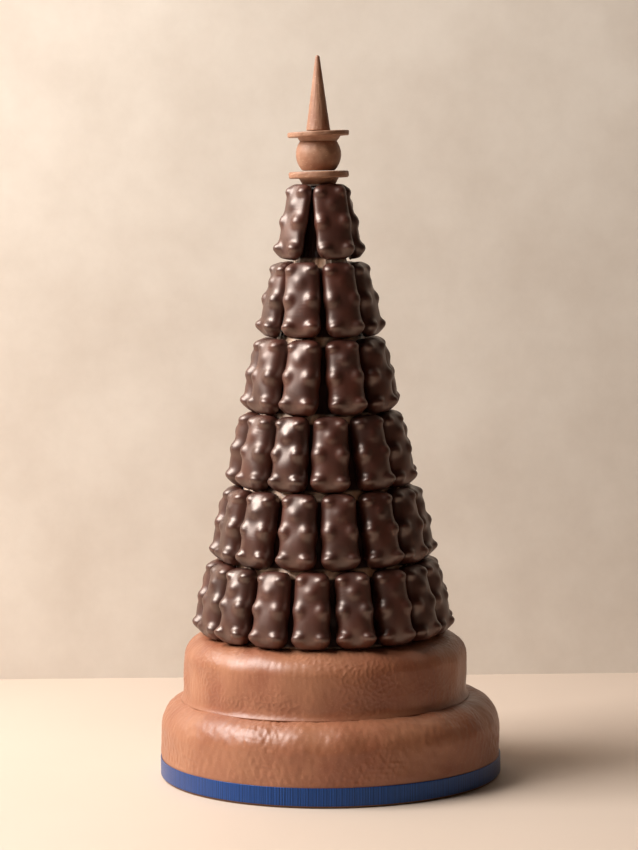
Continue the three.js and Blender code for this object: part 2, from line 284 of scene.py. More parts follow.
def swell_field(along, up, spacing, seed, circumference=None, stretch=1.0, waves=26):
    """Smooth random relief of unit size over flat places in mm.

    It is a sum of cosine waves. Their lengths lie round the spacing, and their directions and
    phases are drawn from the seed. stretch draws the relief out upwards. Round a drum, each wave's
    count is made whole, so that the relief meets itself.
    """
    draw = np.random.default_rng(seed)
    number = 2 * np.pi / (spacing * draw.uniform(0.7, 1.5, waves))
    direction = draw.uniform(0, 2 * np.pi, waves)
    across_number = number * np.cos(direction)
    if circumference is not None:
        turns = np.round(across_number * circumference / (2 * np.pi))
        across_number = turns * 2 * np.pi / circumference
    up_number = number * np.sin(direction) / stretch
    phase = draw.uniform(0, 2 * np.pi, waves)
    total = sum(np.cos(a * along + u * up + p) for a, u, p in zip(across_number, up_number, phase))
    return total / np.sqrt(waves / 2)


def drum_profile(drum):
    """A drum's outline as radius, height and distance along it, evenly spaced from foot to top.

    The parts are a rounded foot or a hollow flare over an upright lip, an upright wall and a
    quarter ellipse.
    """
    radius, low, high = drum["radius"], drum["low"], drum["high"]
    inward, down = drum["shoulder"]
    if "flare" in drum:
        flare, rise, lip = drum["flare"], drum["flare_height"], drum["lip"]
        climb = np.linspace(0, 1, 30)
        hollow = [radius + flare * (1 - climb) ** 2.6, low + lip + (rise - lip) * climb]
        foot = np.concatenate([[[radius + flare], [low]], hollow], axis=1)
    else:
        edge = drum["foot_edge"]
        turn = np.linspace(0, np.pi / 2, 6)
        foot = np.array([radius - edge + edge * np.sin(turn), low + edge - edge * np.cos(turn)])
    turn = np.linspace(0, np.pi / 2, 200)
    shoulder = [radius - inward * (1 - np.cos(turn)), high - down + down * np.sin(turn)]
    outline = np.concatenate([foot, shoulder], axis=1)
    length = np.concatenate([[0], np.cumsum(np.hypot(*np.diff(outline, axis=1)))])
    even = np.linspace(0, length[-1], round(length[-1] / DRUM_STEP))
    return np.interp(even, length, outline[0]), np.interp(even, length, outline[1]), even


def drum_body(drum, relief):
    """A drum as one turned body: its outline, the slow wave of its coat, and finer relief.

    The slow wave has three and seven crests round the drum and dies out at the foot and the top.
    relief(along, up) gives the finer relief in mm, and pushes the coat out along its normal.
    A drum that stands on another is drawn down at its foot to the shoulder under it.
    """
    radii, heights, length = drum_profile(drum)
    around = round(2 * np.pi * drum["radius"] / DRUM_STEP)
    angle = np.linspace(0, 2 * np.pi, around, endpoint=False)[None]
    radius, height, length = radii[:, None], heights[:, None], length[:, None]
    even, high = drum["even_below"], drum["high"]
    rise = smooth(even, even + 8, height)
    fall = 1 - smooth(high - 6, high, height)
    wave = np.sin(3 * angle + 0.8) + 0.6 * np.sin(7 * angle + 2.1 + height / 14)
    wavy = radius + drum["wave"] * rise * fall * wave / 1.6
    slope = np.arctan2(-np.gradient(radii), np.gradient(heights))[:, None]
    fine = relief(drum["radius"] * angle, length) * smooth(even - 2, even + 4, height)
    body = turned(wavy + fine * np.cos(slope), height + fine * np.sin(slope), around)
    body[..., 0] += drum["centre"]
    if "stands_on" in drum:
        under = drum["stands_on"]
        inward, down = under["shoulder"]
        past = np.hypot(body[0, 0, :, 0], body[0, 0, :, 1]) - (under["radius"] - inward)
        bend = np.sqrt(1 - np.clip(past / inward, 0, 1) ** 2)
        sink = drum["low"] - (under["high"] - down * (1 - bend)) + FOOT_SUNK
        body[0, ..., 2] -= sink * (1 - smooth(drum["low"], drum["low"] + drum["flare_height"], height))
    return body


def coat_layer(drum, layer, along, up, seed, stretch=1.0):
    """Relief of unit size for one layer of a drum's coat, with the spacing that the drum gives it."""
    return swell_field(along, up, drum[layer][0], seed, 2 * np.pi * drum["radius"], stretch)


def lower_relief(along, up):
    """Broad dents, sags a little drawn out downwards, and wrinkles that come in patches."""
    drum = LOWER_DRUM
    dents = coat_layer(drum, "dents", along, up, 11)
    sags = coat_layer(drum, "sags", along, up, 12, stretch=1.4)
    wrinkles = coat_layer(drum, "wrinkles", along, up, 13)
    patch = smooth(-0.8, 1.0, coat_layer(drum, "patches", along, up, 14))
    return drum["dents"][1] * dents + drum["sags"][1] * sags + drum["wrinkles"][1] * wrinkles * patch


def make_milk_coat():
    """Milk chocolate, tempered, poured and set: satin gloss, a faint mottle of warmer and paler
    cocoa, fine pits and grain, and dull dusty patches where the gloss has gone."""
    material, tree, shader, place = new_material("poured_milk_chocolate", roughness=0.4, ior=1.55)
    shader.inputs["Sheen Weight"].default_value = 0.04
    shader.inputs["Sheen Roughness"].default_value = 0.5
    shader.inputs["Sheen Tint"].default_value = linear("#ffdcc0")
    blot = add_node(tree, "ShaderNodeTexNoise", {
        "Vector": place, "Scale": per_mm(38), "Detail": 3.0, "Roughness": 0.5}).outputs["Fac"]
    warm = add_node(tree, "ShaderNodeMapRange", {
        "Value": blot, "From Min": 0.35, "From Max": 0.65, "To Min": 0.0, "To Max": 1.0}).outputs[0]
    ground = add_node(tree, "ShaderNodeMix", {
        0: warm, 6: linear("#a56e50"), 7: linear("#90563c")}, data_type="RGBA").outputs[2]
    speck = add_node(tree, "ShaderNodeTexNoise", {
        "Vector": place, "Scale": per_mm(1.4), "Detail": 4.0, "Roughness": 0.7}).outputs["Fac"]
    dust = add_node(tree, "ShaderNodeMapRange", {
        "Value": speck, "From Min": 0.56, "From Max": 0.72, "To Min": 0.0, "To Max": 0.35}).outputs[0]
    colour = add_node(tree, "ShaderNodeMix", {
        0: dust, 6: ground, 7: linear("#bd8a6a")}, data_type="RGBA").outputs[2]
    tree.links.new(colour, shader.inputs["Base Color"])
    dull = add_node(tree, "ShaderNodeTexNoise", {
        "Vector": place, "Scale": per_mm(22), "Detail": 5.0, "Roughness": 0.65}).outputs["Fac"]
    roughness = add_node(tree, "ShaderNodeMapRange", {
        "Value": dull, "From Min": 0.3, "From Max": 0.7, "To Min": 0.36, "To Max": 0.48}).outputs[0]
    tree.links.new(roughness, shader.inputs["Roughness"])
    grain = add_node(tree, "ShaderNodeTexNoise", {
        "Vector": place, "Scale": per_mm(1.9), "Detail": 5.0, "Roughness": 0.6}).outputs["Fac"]
    bump = add_node(tree, "ShaderNodeBump", {"Height": grain, "Distance": 0.35 * MM, "Strength": 0.35})
    tree.links.new(bump.outputs["Normal"], shader.inputs["Normal"])
    return material


milk_coat = make_milk_coat()
lower_drum = skin("lower_drum_coat", drum_body(LOWER_DRUM, lower_relief))
show(lower_drum, milk_coat, "milk_chocolate_coat", "lower_tier")

# ---- upper drum ---------------------------------------------------------------------------------
# A 20 cm drum coated in the same way and set down a little left of the middle. Its coat ran down
# into a small hollow flare over the lower drum, and shivered into worm-like wrinkles on the wall.
UPPER_DRUM = {
    "radius": 100.1,
    "low": 55.8,
    "high": 100.2,
    "shoulder": (20.2, 15.7),
    "flare": 2.2,
    "flare_height": 7.0,
    "lip": 0.3,
    "wave": 0.5,
    "even_below": 57.8,
    "centre": -3.5,
    "stands_on": LOWER_DRUM,
    "dents": (30, 0.28),
    "streaks": (4, 0.04),
    "wrinkles": (6, 0.17),
    "patches": (55, 1),
}
FOOT_SUNK = 0.1  # mm that the coat's foot goes into the shoulder it ran down on


def upper_relief(along, up):
    """Broad dents, streaks that run down, and wrinkles that are narrow crests in patches."""
    drum = UPPER_DRUM
    dents = coat_layer(drum, "dents", along, up, 21)
    streaks = coat_layer(drum, "streaks", along, up, 22, stretch=3)
    wrinkles = 1 - 2 * np.abs(coat_layer(drum, "wrinkles", along, up, 23)).clip(0, 1)
    patch = smooth(-1.0, 0.8, coat_layer(drum, "patches", along, up, 24))
    return drum["dents"][1] * dents + drum["streaks"][1] * streaks + drum["wrinkles"][1] * wrinkles * patch


upper_drum = skin("upper_drum_coat", drum_body(UPPER_DRUM, upper_relief))
show(upper_drum, milk_coat, "milk_chocolate_coat", "upper_tier")

# ---- cone ---------------------------------------------------------------------------------------
# The cone that the bears are stuck to, under pale milk chocolate that was spooned on and ran. It
# shows between the rings as pale glossy patches; behind the bears it is painted dark as shade.
CONE = {
    "centre": -4.0,
    "low": 100.5,
    "high": 415.6,
    "foot_radius": 77.8,
    "slope": 0.2285,  # radius lost for each millimetre of height
    "ring_feet": (100.1, 152.3, 204.5, 256.7, 309.4, 363.6),  # the heights of the bears' soles
    "middle_radius": 50,  # where its relief is measured
    "drips": (8, 0.5),  # mm from crest to crest, and mm of relief
    "drip_stretch": 5,
    "lumps": (12, 0.15),
    "unshaded_below": 2,  # mm from the soles down to the middle of a patch free of painted shade
    "unshaded_reach": (4, 2),  # mm from there to where the painted shade covers it, and to where it starts
}
CONE_LEVELS, CONE_AROUND = 330, 260


def cone_body():
    """The cone as a turned body: a straight taper, drips that stand out down its side, and lumps."""
    low, high = CONE["low"], CONE["high"]
    heights = np.linspace(low, high, CONE_LEVELS)[:, None]
    angle = np.linspace(0, 2 * np.pi, CONE_AROUND, endpoint=False)[None]
    straight = CONE["foot_radius"] - (heights - low) * CONE["slope"]
    along = CONE["middle_radius"] * angle
    circumference = 2 * np.pi * CONE["middle_radius"]
    (drip_spacing, drip_relief), (lump_spacing, lump_relief) = CONE["drips"], CONE["lumps"]
    drips = swell_field(along, heights, drip_spacing, 31, circumference, stretch=CONE["drip_stretch"])
    lumps = swell_field(along, heights, lump_spacing, 32, circumference)
    relief = drip_relief * drips.clip(0, None) + lump_relief * lumps
    end = smooth(high, high - 6, heights) * smooth(low, low + 4, heights)
    body = turned(straight + end * relief, heights, CONE_AROUND)
    body[..., 0] += CONE["centre"]
    return body


def unshaded_share(heights):
    """How free of painted shade the cone is: 1 just below the soles of each ring, 0 behind the bears."""
    away = np.abs(heights[:, None] + CONE["unshaded_below"] - np.array(CONE["ring_feet"])).min(axis=1)
    return smooth(*CONE["unshaded_reach"], away)


def make_pale_coat():
    """Milk chocolate let down with white, spooned on and run: pale, glossy, in cream and tan swirls,
    and painted nearly black behind the bears, as painted shade.
    """
    material, tree, shader, place = new_material("pale_milk_chocolate", roughness=0.3, ior=1.46)
    drawn = add_node(tree, "ShaderNodeMapping", {"Vector": place, "Scale": (1.0, 1.0, 0.35)}).outputs[0]
    swirl = add_node(tree, "ShaderNodeTexNoise", {
        "Vector": drawn, "Scale": per_mm(11), "Detail": 3.0, "Distortion": 0.8}).outputs["Fac"]
    share = add_node(tree, "ShaderNodeMapRange", {
        "Value": swirl, "From Min": 0.36, "From Max": 0.62, "To Min": 0.0, "To Max": 1.0}).outputs[0]
    coat = add_node(tree, "ShaderNodeMix", {
        0: share, 6: linear("#d3a382"), 7: linear("#f2d9c4")}, data_type="RGBA").outputs[2]
    # Not bare means behind the bears: there the colour is nearly black, a painted shade.
    bare = add_node(tree, "ShaderNodeAttribute", {}, attribute_name="bare").outputs["Fac"]
    colour = add_node(tree, "ShaderNodeMix", {
        0: bare, 6: linear("#2e1812"), 7: coat}, data_type="RGBA").outputs[2]
    tree.links.new(colour, shader.inputs["Base Color"])
    grain = add_node(tree, "ShaderNodeTexNoise", {
        "Vector": place, "Scale": per_mm(2.6), "Detail": 3.0}).outputs["Fac"]
    bump = add_node(tree, "ShaderNodeBump", {"Height": grain, "Distance": 0.2 * MM, "Strength": 0.3})
    tree.links.new(bump.outputs["Normal"], shader.inputs["Normal"])
    return material


cone_shape = cone_body()
cone = skin("cone_coat", cone_shape)
# The share of the cone that is free of the painted shade behind the bears, point by point.
bare = unshaded_share(np.append(cone_shape[..., 2].ravel(), [CONE["low"], CONE["high"]]))
cone.data.attributes.new("bare", "FLOAT", "POINT").data.foreach_set("value", bare)
show(cone, make_pale_coat(), "pale_chocolate_coat", "cone_core")

# ---- bears --------------------------------------------------------------------------------------
# Marshmallow bears, each cast in one piece with a flat back and run through a curtain of dark
# chocolate. The coat rounds them off, so that feet, paws, ears and snout show as soft bumps, leaves
# fine ripples, and spreads a thin ragged foot round the back. Each leans on the cone, stuck there.
BEAR = {
    "height": 53.0,
    "width": 24.2,
    "lean": math.atan(CONE["slope"]),
    "squareness": 2.6,  # how boxy its cross section is
    "end_squareness": 5.2,  # how boxy its outline is from head to foot, seen from the front
    "dome_squareness": 3.4,  # and its front, seen from the side
    "back_squareness": 12.0,  # and its back
    "coat_foot": 0.9,  # how far the coat spread round the back
}
# Where the body widens: the height, the reach, and how much on each side.
SWELLS = [(7, 7, 1.7), (26, 6, 1.0), (46, 6, 0.2)]
# Feet, paws, ears, chin, face and belly: how far across and up, the reach across and up, the relief.
BUMPS = [
    (8.6, 6.4, 4.3, 3.9, 3.6),
    (8.4, 26.0, 4.0, 4.4, 2.4),
    (7.6, 47.6, 3.7, 3.4, 2.4),
    (0.0, 37.5, 4.0, 4.0, 1.2),
    (0.0, 42.5, 8.0, 5.0, 0.5),
    (0.0, 17.0, 8.5, 8.0, 0.7),
]
# Rings of bears, top ring first: the height of the soles, the radius to the feet, how thick a bear
# is and how deep its rear part, how many stand in each group behind, and for each shown bear its
# degrees round the cone, how far it faces right of straight out, and how far its head tips over.
RINGS = [
    {"foot": 363.6, "tip": 32.6, "thick": 10.0, "back": 5.3, "groups": [2],
     "shown": [-56.5, 29, 106.5], "turned": [1, -13, -7], "rolled": [-1, 0, -1]},
    {"foot": 309.4, "tip": 45.3, "thick": 11.8, "back": 4.0, "groups": [2, 1],
     "shown": [-73.5, -21, 29, 77], "turned": [3, 5, -9, -7], "rolled": [0, -3, 0, 0]},
    {"foot": 256.7, "tip": 57.0, "thick": 13.0, "back": 2.0, "groups": [2, 2],
     "shown": [-95, -57, -19, 24, 61, 97.5], "turned": [-7, 3, -3, -13, -11, -11],
     "rolled": [2, -2, 2, 0, 2, 0]},
    {"foot": 204.5, "tip": 68.5, "thick": 13.0, "back": 2.0, "groups": [3, 2],
     "shown": [-92, -54, -23, 5, 40, 69, 98], "turned": [-7, 3, -3, -1, -13, -13, -13],
     "rolled": [2, 0, 0, 2, 0, 2, 0]},
    {"foot": 152.3, "tip": 80.6, "thick": 13.0, "back": 2.0, "groups": [4, 3],
     "shown": [-91, -66, -42, -15, 10, 37, 60, 83.5], "turned": [-5, -3, 7, -3, -3, -13, -11, -9],
     "rolled": [2, 0, 0, 0, 0, 0, 2, 0]},
    {"foot": 100.1, "tip": 93.2, "thick": 13.0, "back": 2.0, "groups": [4, 4],
     "shown": [-90, -68, -48, -27, -6, 16, 37, 57, 76.5, 95.5],
     "turned": [-5, 5, 3, -1, -1, -13, -13, -9, -9, -11], "rolled": [0, 0, -1, 0, 0, 0, 2, 0, 0, 0]},
]
# How much one bear differs from the next: mm along its ring, degrees, mm, and shares of its size.
UNEVEN = {"shift": 0.2, "roll": 0.6, "lift": 0.1, "height": 0.004, "width": 0.015, "relief": 0.15}
BEHIND_TURN, BEHIND_SPREAD = -6, 3  # how the bears behind face, in degrees
FEET_SUNK = 2.6  # mm that each foot of the bears behind goes past the middle of its join to the next
# The soft relief of a coat: mm from crest to crest, mm of relief, and what is added to the seed.
SOFT_RELIEF = [(20, 0.1, 0), (8, 0.012, 7)]
PATTERN_SHIFT = 60  # mm by which the pattern of a coat may be moved on its bear
BEAR_LEVELS, BEAR_AROUND = 74, 96


def uneven(ring, bear, trait):
    """A steady number from -1 to 1 for one trait of one bear: the broken part of a large sine."""
    wave = math.sin(ring * 12.9898 + bear * 78.233 + trait * 37.719) * 43758.5453
    return 2 * (wave - math.floor(wave)) - 1


def signed_power(value, power):
    """The size of the value raised to the power, with the value's sign."""
    return np.sign(value) * np.abs(value) ** power


def bell(distance, reach):
    """A bell curve that is 1 in the middle and 1/e at its reach."""
    return np.exp(-((distance / reach) ** 2))


def knob(across, up, wide, tall):
    """A rounder bell over two distances: its top is flatter and its sides are steeper."""
    return np.exp(-(((across / wide) ** 2 + (up / tall) ** 2) ** 1.3))


def even_angles(first, last, power, wide, tall, count):
    """Angles along a superellipse from first to last that are the same distance apart on it."""
    fine = np.linspace(first, last, 4000)
    x = wide * signed_power(np.cos(fine), power)
    y = tall * signed_power(np.sin(fine), power)
    length = np.concatenate([[0], np.cumsum(np.hypot(np.diff(x), np.diff(y)))])
    return np.interp(np.linspace(0, length[-1], count), length, fine)


def taper(height, squareness):
    """A bear's share of its full size at a height: a superellipse from its soles to its crown."""
    return (1 - np.abs(2 * height / BEAR["height"] - 1) ** squareness) ** (1 / squareness)


def bear_surface(ring, ring_number, bear_number):
    """One bear in its own frame (x across, -y outwards, z up) and its flat coat coordinates in mm.

    Its section is a superellipse, deeper in front than behind. Its width and its depth each follow
    a superellipse from soles to crown. Swells widen it, and bumps are bell curves pushed along the
    section's normal on the front half. A soft random relief makes each coat its own, and the coat's
    foot is a bell curve of depth that pushes the outline out close to the flat back.
    """
    draw = [uneven(ring_number, bear_number, trait) for trait in range(20)]
    seed = 100 * ring_number + bear_number
    half_height, back = BEAR["height"] / 2, ring["back"]
    front_depth = ring["thick"] - back
    end_power, power = 2 / BEAR["end_squareness"], 2 / BEAR["squareness"]
    rise = even_angles(-np.pi / 2, np.pi / 2, end_power, 10, half_height, BEAR_LEVELS + 2)[1:-1, None]
    round_it = even_angles(2 * np.pi, 0, power, BEAR["width"] / 2, front_depth, BEAR_AROUND + 1)
    cos, sin = np.cos(round_it)[None, :-1], np.sin(round_it)[None, :-1]
    height = half_height * (1 + signed_power(np.sin(rise), end_power))
    wider = 1 + UNEVEN["width"] * draw[1]
    swell = sum(grow * bell(height - at, reach) for at, reach, grow in SWELLS)
    half_width = (BEAR["width"] / 2 + swell) * wider
    across = half_width * taper(height, BEAR["end_squareness"]) * signed_power(cos, power)
    fore = front_depth * taper(height, BEAR["dome_squareness"])
    rear = back * taper(height, BEAR["back_squareness"])
    depth = back + np.where(sin > 0, fore, rear) * signed_power(sin, power)
    relief = 0
    for index, (aside, up, wide, tall, out) in enumerate(BUMPS):
        own = out * (1 + 0.3 * draw[8 + index] * (aside == 0))
        relief = relief + own * knob(np.abs(across) - aside * wider, height - up, wide, tall)
    soft = sum(out * swell_field(across, height, spacing, seed + step) for spacing, out, step in SOFT_RELIEF)
    push = relief * smooth(-0.05, 0.6, sin) * (1 + UNEVEN["relief"] * draw[3])
    push = push + soft * smooth(-0.6, 0.3, sin)
    normal_x = signed_power(cos, 2 - power) / half_width
    normal_y = signed_power(sin, 2 - power) / front_depth
    size = np.hypot(normal_x, normal_y)
    aside = np.cos(rise) ** (2 - end_power) / half_width
    upward = signed_power(np.sin(rise), 2 - end_power) / half_height
    ragged = 0.6 + 0.3 * swell_field(across, height, 6, seed + 3)
    spread = BEAR["coat_foot"] * ragged * bell(depth - 0.4, 0.6) / np.hypot(aside, upward)
    x = across + push * normal_x / size + spread * aside * cos
    y = -(depth + push * normal_y / size)
    z = height * (1 + UNEVEN["height"] * draw[2]) + spread * upward
    flat = np.stack([across + PATTERN_SHIFT * draw[14], z + PATTERN_SHIFT * draw[15]], axis=-1)
    return np.stack([x, y, z], axis=-1), flat


def place_bear(points, ring, ring_number, bear_number, azimuth, facing, rolled):
    """Puts a bear in its ring: leans it on the cone, its feet at the ring's radius, then turns it
    about its own long axis and rolls it over as it lies there."""
    lean, (_, feet_up, _, _, feet_out) = BEAR["lean"], BUMPS[0]
    bare = ring["back"] + (ring["thick"] - ring["back"]) * taper(feet_up, BEAR["dome_squareness"])
    reach = (bare + feet_out) * math.cos(lean) - feet_up * math.sin(lean)
    back = ring["tip"] - reach
    turn = math.radians(azimuth) + UNEVEN["shift"] * uneven(ring_number, bear_number, 4) / ring["tip"]
    roll = math.radians(rolled + UNEVEN["roll"] * uneven(ring_number, bear_number, 7))
    leaning = Matrix.Rotation(turn, 3, "Z") @ Matrix.Rotation(-lean, 3, "X")
    lying = Matrix.Rotation(math.radians(facing), 3, "Z") @ Matrix.Rotation(roll, 3, "Y")
    foot = ring["foot"] + UNEVEN["lift"] * uneven(ring_number, bear_number, 6)
    middle = [CONE["centre"] + back * math.sin(turn), -back * math.cos(turn), foot]
    return points @ np.array(leaning @ lying).T + middle


def bear_piece(node, ring, ring_number, stood):
    """One piece of the bears (number, azimuth, facing, rolled) that share a node."""
    made = [bear_surface(ring, ring_number, bear[0]) for bear in stood]
    bodies = np.stack([
        place_bear(points, ring, ring_number, *bear) for (points, _), bear in zip(made, stood)])
    piece = skin(f"{node}_coat", bodies, uv=np.stack([flat for _, flat in made]) * MM)
    batch = [uneven(ring_number, bear[0], 16) for bear in stood]
    each = len(piece.data.vertices) // len(stood)
    piece.data.attributes.new("batch", "FLOAT", "POINT").data.foreach_set("value", np.repeat(batch, each))
    show(piece, dark_coat, "dark_chocolate_coat", node)


def make_dark_coat():
    """Dark chocolate from an enrober: red-brown to nearly black, a satin gloss that spreads the light
    widely and differs a little from bear to bear, and faint ripples little more than a millimetre
    apart. Its IOR lies above that of chocolate, because the gloss is as strong as the real one's."""
    material, tree, shader, place = new_material("enrobed_dark_chocolate", roughness=0.4, ior=1.95)
    shader.inputs["Specular Tint"].default_value = linear("#ffede2")
    flat = add_node(tree, "ShaderNodeUVMap", {}, uv_map="coat").outputs[0]
    batch = add_node(tree, "ShaderNodeAttribute", {}, attribute_name="batch").outputs["Fac"]
    blot = add_node(tree, "ShaderNodeTexNoise", {
        "Vector": place, "Scale": per_mm(18), "Detail": 2.0}).outputs["Fac"]
    red = add_node(tree, "ShaderNodeMath", {0: batch, 1: 0.1, 2: blot}, operation="MULTIPLY_ADD").outputs[0]
    share = add_node(tree, "ShaderNodeMapRange", {
        "Value": red, "From Min": 0.3, "From Max": 0.7, "To Min": 0.0, "To Max": 1.0}).outputs[0]
    colour = add_node(tree, "ShaderNodeMix", {
        0: share, 6: linear("#371810"), 7: linear("#4e2418")}, data_type="RGBA").outputs[2]
    tree.links.new(colour, shader.inputs["Base Color"])
    dull = add_node(tree, "ShaderNodeTexNoise", {
        "Vector": place, "Scale": per_mm(26), "Detail": 3.0, "Roughness": 0.55}).outputs["Fac"]
    worn_off = add_node(tree, "ShaderNodeMapRange", {
        "Value": dull, "From Min": 0.3, "From Max": 0.7, "To Min": 0.38, "To Max": 0.45}).outputs[0]
    roughness = add_node(tree, "ShaderNodeMath", {
        0: batch, 1: 0.03, 2: worn_off}, operation="MULTIPLY_ADD").outputs[0]
    tree.links.new(roughness, shader.inputs["Roughness"])
    ripple = add_node(tree, "ShaderNodeTexWave", {
        "Vector": flat, "Scale": per_mm(1.25) / 6.2, "Distortion": 5.0, "Detail": 1.0,
        "Detail Scale": 0.25}, wave_type="BANDS", bands_direction="Y").outputs["Fac"]
    where = add_node(tree, "ShaderNodeTexNoise", {
        "Vector": flat, "Scale": per_mm(14), "Detail": 1.0}).outputs["Fac"]
    shown = add_node(tree, "ShaderNodeMapRange", {
        "Value": where, "From Min": 0.54, "From Max": 0.68, "To Min": 0.0, "To Max": 1.0}).outputs[0]
    height = add_node(tree, "ShaderNodeMath", {0: ripple, 1: shown}, operation="MULTIPLY").outputs[0]
    pores = add_node(tree, "ShaderNodeTexNoise", {
        "Vector": place, "Scale": per_mm(2.6), "Detail": 3.0, "Roughness": 0.5}).outputs["Fac"]
    height = add_node(tree, "ShaderNodeMath", {
        0: pores, 1: 0.35, 2: height}, operation="MULTIPLY_ADD").outputs[0]
    bump = add_node(tree, "ShaderNodeBump", {"Height": height, "Distance": 0.05 * MM, "Strength": 0.6})
    tree.links.new(bump.outputs["Normal"], shader.inputs["Normal"])
    return material


def touching_step(ring):
    """Degrees between two bears behind whose feet just run into each other."""
    half_width = BEAR["width"] / 2 + SWELLS[0][2]
    middle_radius = ring["tip"] - ring["thick"] / 2 - BUMPS[0][4]
    return 2 * math.degrees(math.atan((half_width - FEET_SUNK) / middle_radius))


dark_coat = make_dark_coat()
for ring_number, ring in enumerate(RINGS, start=1):
    shown = list(zip(ring["shown"], ring["turned"], ring["rolled"]))
    for number, stance in enumerate(shown):
        bear_piece(f"bear_{ring_number}_{number + 1}", ring, ring_number, [(number, *stance)])
    step = touching_step(ring)
    joins = sum(count - 1 for count in ring["groups"])
    behind = 360 - ring["shown"][-1] + ring["shown"][0]
    space = (behind - joins * step) / (len(ring["groups"]) + 1)
    azimuth = ring["shown"][-1] + space
    bear_number = len(shown)
    for group, count in enumerate(ring["groups"], start=1):
        stood = []
        for _ in range(count):
            facing = BEHIND_TURN + BEHIND_SPREAD * uneven(ring_number, bear_number, 5)
            stood.append((bear_number, azimuth, facing, 0))
            bear_number += 1
            azimuth += step
        azimuth += space - step
        bear_piece(f"bears_{ring_number}_back_{group}", ring, ring_number, stood)

# ---- finial -------------------------------------------------------------------------------------
# Six castings of milk chocolate, stuck one on another: a collar, a disc, a ball, a small socket, a
# second disc and a spike. They are matt from the mould, with scuffs, specks and nicked edges. The
# collar and the socket go a little into their neighbours, so that no light shows in between.
FINIAL_CENTRE = -4.2
COLLAR = {"low": 416.2, "high": 421.4, "low_radius": 11.4, "high_radius": 14.4}
LOWER_DISC = {"low": 420.7, "height": 4.7, "radius": 20.9, "edge": 1.5, "tilt": 1.2}
BALL = {"middle": 437.2, "radius": 15.8, "low": 426.0, "high": 446.1}
SOCKET = {"low": 445.8, "high": 450.4, "low_radius": 12.6, "high_radius": 15.6}
UPPER_DISC = {"low": 449.6, "height": 3.6, "radius": 21.4, "edge": 1.1, "tilt": 2.2}
SPIKE = {"low": 453.7, "high": 506.0, "radius": 8.4, "tip_radius": 1.5}
FINIAL_AROUND = 160
WEAR = {"disc": 0.12, "collar": 0.06, "ball": 0.05, "spike": 0.05}  # mm that each wanders
WEAR_SPACING = (9, 3)  # mm from crest to crest of the broad wear and the fine wear
WEAR_RADIUS = 20  # where it is measured


def worn(profile, amount, seed):
    """A turned body whose radius wanders by the amount in mm, as a casting's does."""
    radii, heights = profile
    angle = np.linspace(0, 2 * np.pi, FINIAL_AROUND, endpoint=False)[None]
    along, up, circumference = WEAR_RADIUS * angle, heights[:, None], 2 * np.pi * WEAR_RADIUS
    broad, fine = WEAR_SPACING
    wander = swell_field(along, up, broad, seed, circumference)
    wander = wander + 0.5 * swell_field(along, up, fine, seed + 50, circumference)
    share = np.clip(radii / radii.max(), 0, 1)[:, None]
    return turned(radii[:, None] + amount * wander * share, heights, FINIAL_AROUND, (FINIAL_CENTRE, 0))


def refined(corners, edge, steps=5, spacing=0.8):
    """A profile through corner points, each corner cut to a small arc, points evenly spaced."""
    corners = np.array(corners, float)
    points = [corners[0]]
    for before, corner, after in zip(corners, corners[1:], corners[2:]):
        start = corner + (before - corner) / np.linalg.norm(before - corner) * edge
        end = corner + (after - corner) / np.linalg.norm(after - corner) * edge
        share = np.linspace(0, 1, steps)[:, None]
        points.extend((1 - share) ** 2 * start + 2 * share * (1 - share) * corner + share ** 2 * end)
    points.append(corners[-1])
    points = np.array(points)
    length = np.concatenate([[0], np.cumsum(np.linalg.norm(np.diff(points, axis=0), axis=1))])
    even = np.linspace(0, length[-1], max(8, round(length[-1] / spacing)))
    return np.interp(even, length, points[:, 0]), np.interp(even, length, points[:, 1])


def tilted(body, low, height, degrees):
    """Tips a disc about its own middle, its right side up."""
    middle = np.array([FINIAL_CENTRE, 0, low + height / 2])
    turning = Matrix.Rotation(-math.radians(degrees), 3, "Y")
    return (body - middle) @ np.array(turning).T + middle


def disc_body(disc, seed):
    """A disc with round edges that wanders a little from the round, tipped about its middle."""
    high = disc["low"] + disc["height"]
    radius, edge = disc["radius"], disc["edge"]
    corners = [(radius - 3, disc["low"]), (radius, disc["low"]), (radius, high), (radius - 3, high)]
    body = worn(refined(corners, edge, spacing=0.35), WEAR["disc"], seed)
    return tilted(body, disc["low"], disc["height"], disc["tilt"])


def collar_body(collar, seed):
    """A short collar that widens upwards, with softened edges."""
    low, high = collar["low"], collar["high"]
    low_radius, high_radius = collar["low_radius"], collar["high_radius"]
    corners = [(low_radius - 2, low), (low_radius, low), (high_radius, high), (high_radius - 2, high)]
    return worn(refined(corners, 0.5, spacing=0.35), WEAR["collar"], seed)


def ball_body():
    """A ball between the two flats where it stands and where the socket holds it."""
    low, high = (math.asin((BALL[end] - BALL["middle"]) / BALL["radius"]) for end in ("low", "high"))
    turn = np.linspace(low, high, 60)
    radii = BALL["radius"] * np.cos(turn)
    return worn((radii, BALL["middle"] + BALL["radius"] * np.sin(turn)), WEAR["ball"], 43)


def spike_body():
    """A long straight cone with a softened foot and a round tip."""
    low, high, radius, tip = SPIKE["low"], SPIKE["high"], SPIKE["radius"], SPIKE["tip_radius"]
    side = refined([(radius - 1.5, low), (radius, low), (tip, high - tip)], 0.5, spacing=0.7)
    turn = np.linspace(0.1, np.pi / 2 - 0.05, 10)
    cap = tip * np.cos(turn), high - tip + tip * np.sin(turn)
    return worn(np.concatenate([side, cap], axis=1), WEAR["spike"], 46)


